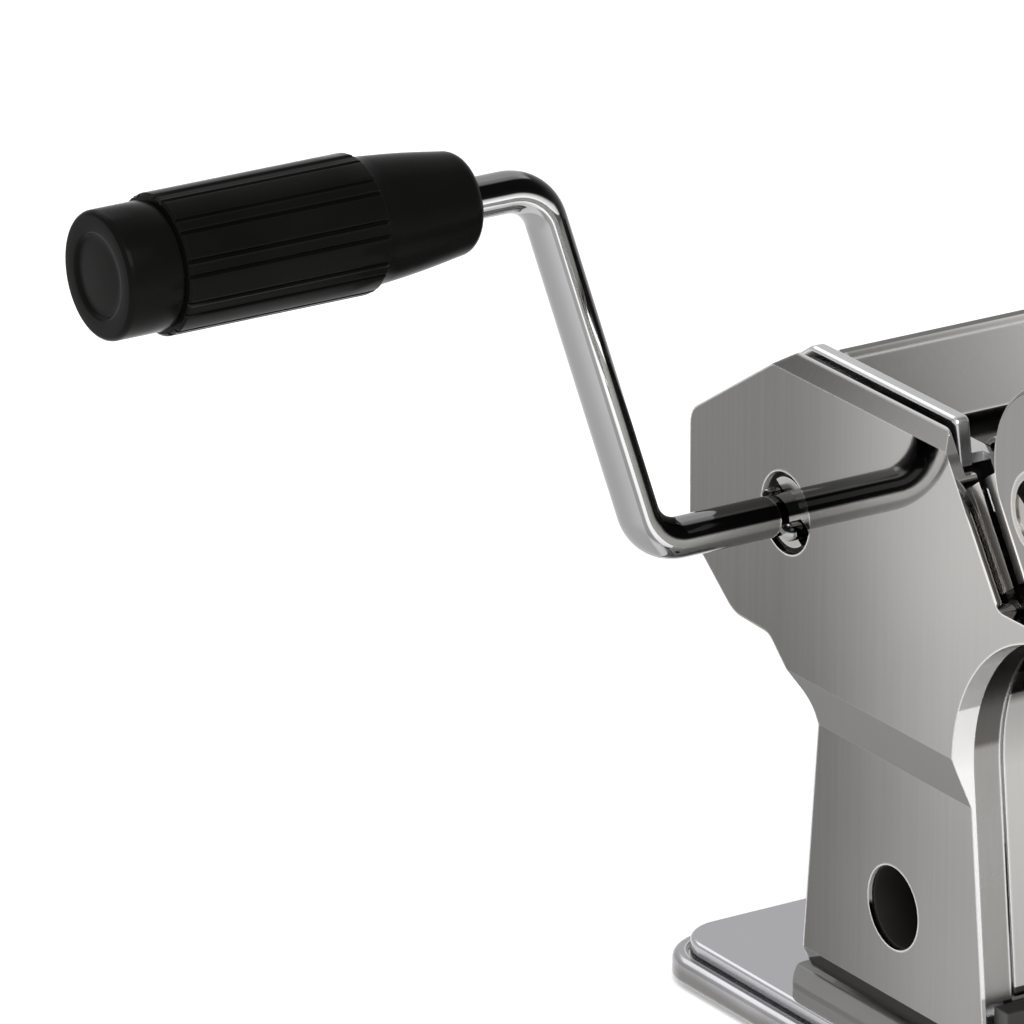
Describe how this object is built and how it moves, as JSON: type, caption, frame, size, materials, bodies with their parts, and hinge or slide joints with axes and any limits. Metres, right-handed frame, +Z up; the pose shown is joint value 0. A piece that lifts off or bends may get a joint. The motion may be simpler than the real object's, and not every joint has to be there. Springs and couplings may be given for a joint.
{
  "type": "pasta roller machine",
  "caption": "Hand-cranked pasta sheeter: polished steel housing on a tray base, adjustable rollers, bent crank with ribbed grip, and a lift-off cutter head.",
  "frame": {"origin": "centre of the bounding box, on the surface that the rubber feet stand on", "axes": "+X along the rollers away from the crank, +Y to the back, +Z up"},
  "size_m": [0.3544, 0.2028, 0.1954],
  "materials": {
    "polished_steel": "bright polished pressed steel",
    "base_steel": "satin pressed steel",
    "frame_steel": "zinc-plated steel",
    "crank_chrome": "polished chrome",
    "grip_plastic": "gloss moulded plastic",
    "dark_plastic": "matt moulded plastic",
    "foot_rubber": "matt rubber",
    "roller_steel": "ground steel",
    "gear_steel": "oiled cut steel",
    "bush_steel": "turned and oiled steel",
    "spring_steel": "drawn spring wire",
    "dial_aluminium": "satin anodised"
  },
  "bodies": {
    "machine_body": {"base_tray": "base_steel", "base_feet": "foot_rubber", "leg_plinths": "dark_plastic", "base_bolts": "frame_steel", "front_sill": "dark_plastic", "side_cover_left": "polished_steel", "side_cover_right": "polished_steel", "side_frame_left": "frame_steel", "side_frame_right": "frame_steel", "tie_rods": "frame_steel", "tie_rod_nuts": "frame_steel", "cover_posts": "frame_steel", "accessory_socket_left": "dark_plastic", "accessory_socket_right": "dark_plastic", "arch_flanges": "polished_steel", "arch_panel": "polished_steel", "rear_cover": "polished_steel", "rear_guide_plate": "polished_steel", "front_guide_plate": "polished_steel", "head_rails": "frame_steel", "frame_bushes": "bush_steel", "drive_scraper": "frame_steel", "scraper_bar": "frame_steel", "dial_ring": "dial_aluminium"},
    "drive_roller": {"drive_roller": "roller_steel", "drive_gear": "gear_steel"},
    "crank": {"crank_rod": "crank_chrome", "grip_retainer": "crank_chrome"},
    "grip": {"grip_body": "grip_plastic", "grip_cap": "grip_plastic"},
    "front_carriage": {"bearing_block_left": "dark_plastic", "bearing_block_right": "dark_plastic", "carriage_bushes": "bush_steel", "carriage_bar": "frame_steel", "front_scraper": "frame_steel", "return_springs": "spring_steel"},
    "front_roller": {"front_roller": "roller_steel", "front_gear": "gear_steel"},
    "cam_shaft": {"cam_rod": "gear_steel", "cams": "dark_plastic"},
    "knob": {"knob": "grip_plastic", "knob_plug": "grip_plastic", "knob_peg": "gear_steel", "knob_spring": "spring_steel"},
    "cutter_head": {"head_plate_left": "polished_steel", "head_plate_right": "polished_steel", "head_hood": "polished_steel", "feed_guides": "frame_steel", "head_tie_rods": "frame_steel", "head_slides": "gear_steel", "head_bushes": "bush_steel", "wide_combs": "dark_plastic", "fine_combs": "dark_plastic"},
    "wide_driver": {"wide_driver": "roller_steel", "wide_driver_gear": "gear_steel"},
    "wide_follower": {"wide_follower": "roller_steel", "wide_follower_gear": "gear_steel"},
    "fine_driver": {"fine_driver": "roller_steel", "fine_driver_gear": "gear_steel"},
    "fine_follower": {"fine_follower": "roller_steel"}
  },
  "joints": [
    {"name": "drive_spin", "type": "hinge", "parent": "machine_body", "child": "drive_roller", "pos_m": [0.06325, 0.05794, 0.1075], "axis": [1, 0, 0], "continuous": true},
    {"name": "crank_pull", "type": "slide", "parent": "drive_roller", "child": "crank", "axis": [-1, 0, 0], "range_m": [0, 0.04]},
    {"name": "grip_spin", "type": "hinge", "parent": "crank", "child": "grip", "pos_m": [-0.13875, 0.05794, 0.1823], "axis": [1, 0, 0], "continuous": true},
    {"name": "knob_turn", "type": "hinge", "parent": "machine_body", "child": "cam_shaft", "pos_m": [0.15875, 0.00444, 0.1065], "axis": [1, 0, 0], "range_deg": [0, 270]},
    {"name": "knob_pull", "type": "slide", "parent": "cam_shaft", "child": "knob", "axis": [1, 0, 0], "range_m": [0, 0.004], "stiffness_N_per_m": 500, "springref_m": -0.004, "deforming": ["knob_spring"]},
    {"name": "roller_gap", "type": "slide", "parent": "machine_body", "child": "front_carriage", "axis": [0, 1, 0], "range_m": [0, 0.0036], "deforming": ["return_springs"]},
    {"name": "front_spin", "type": "hinge", "parent": "front_carriage", "child": "front_roller", "pos_m": [0.06325, 0.02434, 0.1075], "axis": [1, 0, 0], "continuous": true},
    {"name": "head_lift", "type": "slide", "parent": "machine_body", "child": "cutter_head", "axis": [0, 0.5429, 0.8398], "range_m": [0, 0.03]},
    {"name": "wide_driver_spin", "type": "hinge", "parent": "cutter_head", "child": "wide_driver", "pos_m": [0.06325, -0.01776, 0.1301], "axis": [1, 0, 0], "continuous": true},
    {"name": "wide_follower_spin", "type": "hinge", "parent": "cutter_head", "child": "wide_follower", "pos_m": [0.06325, -0.03749, 0.12292], "axis": [1, 0, 0], "continuous": true},
    {"name": "fine_driver_spin", "type": "hinge", "parent": "cutter_head", "child": "fine_driver", "pos_m": [0.06325, -0.08119, 0.10701], "axis": [1, 0, 0], "continuous": true},
    {"name": "fine_follower_spin", "type": "hinge", "parent": "cutter_head", "child": "fine_follower", "pos_m": [0.06325, -0.06145, 0.1142], "axis": [1, 0, 0], "continuous": true}
  ],
  "couplings": [
    {"joint": "front_spin", "follows": "drive_spin", "ratio": -1},
    {"joint": "knob_turn", "follows": "roller_gap", "rad_per_m": 1308.9},
    {"joint": "wide_follower_spin", "follows": "wide_driver_spin", "ratio": -1},
    {"joint": "fine_follower_spin", "follows": "fine_driver_spin", "ratio": -1}
  ]
}
